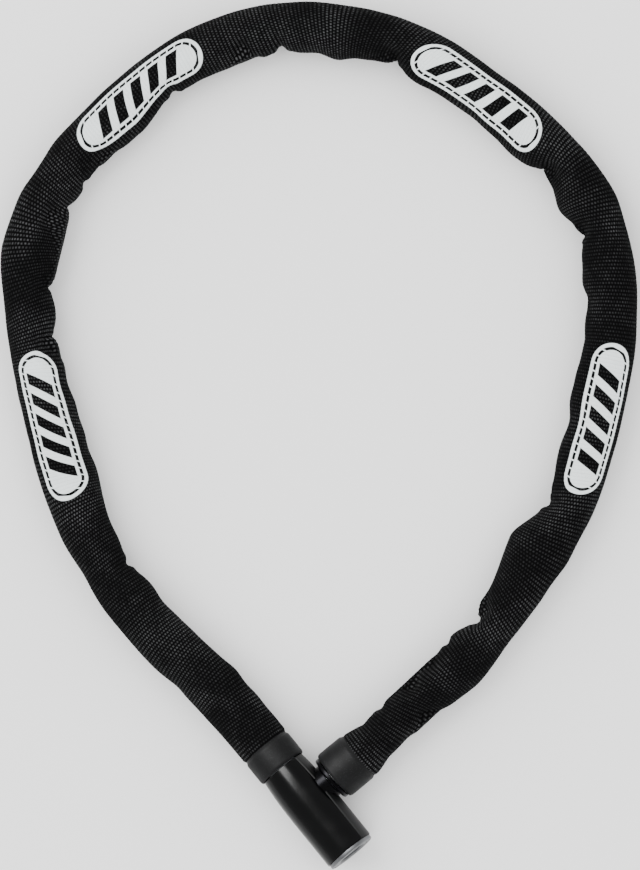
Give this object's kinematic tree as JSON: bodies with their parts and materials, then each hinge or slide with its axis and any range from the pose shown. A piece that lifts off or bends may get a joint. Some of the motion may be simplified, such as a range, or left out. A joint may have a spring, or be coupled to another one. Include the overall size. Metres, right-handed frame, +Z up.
{
  "type": "chain lock",
  "caption": "Chain lock: a square-link chain in a woven fabric sleeve, closed into a loop by a small barrel lock whose side bolt leaves the barrel to open it.",
  "frame": {"origin": "centre of the closed loop's bounding box, on the surface that the loop lies on", "axes": "+Z up from that surface; +Y along the loop's long way, from the barrel lock to the top of the loop; +X to the side where the bolt end comes in"},
  "size_m": [0.2466, 0.338, 0.0206],
  "materials": {
    "cast_body": "cast",
    "gloss_shell": "gloss",
    "soft_collar": "soft touch",
    "steel": "satin",
    "bright_nickel": "bright",
    "brass": "machined",
    "sleeve": "woven"
  },
  "bodies": {
    "lock_case": {"lock_body": "cast_body", "housing_cover": "gloss_shell", "face_ring": "bright_nickel", "bolt_bush": "steel", "anchor_pin": "steel", "plug_retaining_pin": "steel", "left_collar": "soft_collar", "left_clamp_ring": "steel", "chain_link_01": "steel", "chain_link_02": "steel", "sleeve_1": "sleeve"},
    "chain_run_1": {"chain_link_03": "steel", "chain_link_04": "steel", "chain_link_05": "steel", "chain_link_06": "steel", "sleeve_2": "sleeve"},
    "chain_run_2": {"chain_link_07": "steel", "chain_link_08": "steel", "chain_link_09": "steel", "sleeve_3": "sleeve"},
    "chain_run_3": {"chain_link_10": "steel", "chain_link_11": "steel", "chain_link_12": "steel", "sleeve_4": "sleeve"},
    "chain_run_4": {"chain_link_13": "steel", "chain_link_14": "steel", "chain_link_15": "steel", "chain_link_16": "steel", "sleeve_5": "sleeve"},
    "chain_run_5": {"chain_link_17": "steel", "chain_link_18": "steel", "chain_link_19": "steel", "sleeve_6": "sleeve"},
    "chain_run_6": {"chain_link_20": "steel", "chain_link_21": "steel", "chain_link_22": "steel", "sleeve_7": "sleeve"},
    "chain_run_7": {"chain_link_23": "steel", "chain_link_24": "steel", "chain_link_25": "steel", "chain_link_26": "steel", "sleeve_8": "sleeve"},
    "bolt_end": {"bolt": "steel", "bolt_flange": "bright_nickel", "bolt_cross_pin": "steel", "right_collar": "soft_collar", "right_clamp_ring": "steel", "chain_link_27": "steel", "chain_link_28": "steel", "sleeve_9": "sleeve"},
    "lock_plug": {"cylinder_plug": "brass", "wafer_1": "brass", "wafer_2": "brass", "wafer_3": "brass", "wafer_4": "brass", "wafer_spring_1": "steel", "wafer_spring_2": "steel", "wafer_spring_3": "steel", "wafer_spring_4": "steel"},
    "latch": {"latch_plate": "steel"}
  },
  "joints": [
    {"name": "link_hinge_1", "type": "hinge", "parent": "lock_case", "child": "chain_run_1", "pos_m": [-0.05629, -0.08639, 0.0103], "axis": [0, 0, 1], "range_deg": [0, 12], "deforming": ["sleeve_1", "sleeve_2"]},
    {"name": "chain_open", "type": "hinge", "parent": "chain_run_1", "child": "chain_run_2", "pos_m": [-0.10717, 0.00881, 0.0103], "axis": [0, 0, 1], "range_deg": [0, 15], "deforming": ["sleeve_3"]},
    {"name": "link_hinge_3", "type": "hinge", "parent": "chain_run_2", "child": "chain_run_3", "pos_m": [-0.1074, 0.08968, 0.0103], "axis": [0, 0, 1], "range_deg": [0, 14.25], "deforming": ["sleeve_4"]},
    {"name": "link_hinge_4", "type": "hinge", "parent": "chain_run_3", "child": "chain_run_4", "pos_m": [-0.05088, 0.14804, 0.0103], "axis": [0, 0, 1], "range_deg": [0, 7.05], "deforming": ["sleeve_5"]},
    {"name": "link_hinge_5", "type": "hinge", "parent": "chain_run_4", "child": "chain_run_5", "pos_m": [0.05308, 0.14093, 0.0103], "axis": [0, 0, 1], "range_deg": [0, 0.45], "deforming": ["sleeve_6"]},
    {"name": "link_hinge_6", "type": "hinge", "parent": "chain_run_5", "child": "chain_run_6", "pos_m": [0.10859, 0.08216, 0.0103], "axis": [0, 0, 1], "range_deg": [-3.9, 0], "deforming": ["sleeve_7"]},
    {"name": "link_hinge_7", "type": "hinge", "parent": "chain_run_6", "child": "chain_run_7", "pos_m": [0.10681, 0.00108, 0.0103], "axis": [0, 0, 1], "range_deg": [-4.5, 0], "deforming": ["sleeve_8"]},
    {"name": "link_hinge_8", "type": "hinge", "parent": "chain_run_7", "child": "bolt_end", "pos_m": [0.05119, -0.09204, 0.0103], "axis": [0, 0, 1], "range_deg": [-3.3, 0], "deforming": ["sleeve_9"]},
    {"name": "plug_turn", "type": "hinge", "parent": "lock_case", "child": "lock_plug", "pos_m": [-0.01451, -0.12989, 0.0103], "axis": [0.6334, -0.7738, 0], "range_deg": [0, 90]},
    {"name": "latch_slide", "type": "slide", "parent": "lock_case", "child": "latch", "axis": [0, 0, 1], "range_m": [0, 0.00198]}
  ],
  "couplings": [
    {"joint": "link_hinge_1", "follows": "chain_open", "ratio": 0.8},
    {"joint": "link_hinge_3", "follows": "chain_open", "ratio": 0.95},
    {"joint": "link_hinge_4", "follows": "chain_open", "ratio": 0.47},
    {"joint": "link_hinge_5", "follows": "chain_open", "ratio": 0.03},
    {"joint": "link_hinge_6", "follows": "chain_open", "ratio": -0.26},
    {"joint": "link_hinge_7", "follows": "chain_open", "ratio": -0.3},
    {"joint": "link_hinge_8", "follows": "chain_open", "ratio": -0.22},
    {"joint": "latch_slide", "follows": "plug_turn", "m_per_rad": 0.00126}
  ]
}
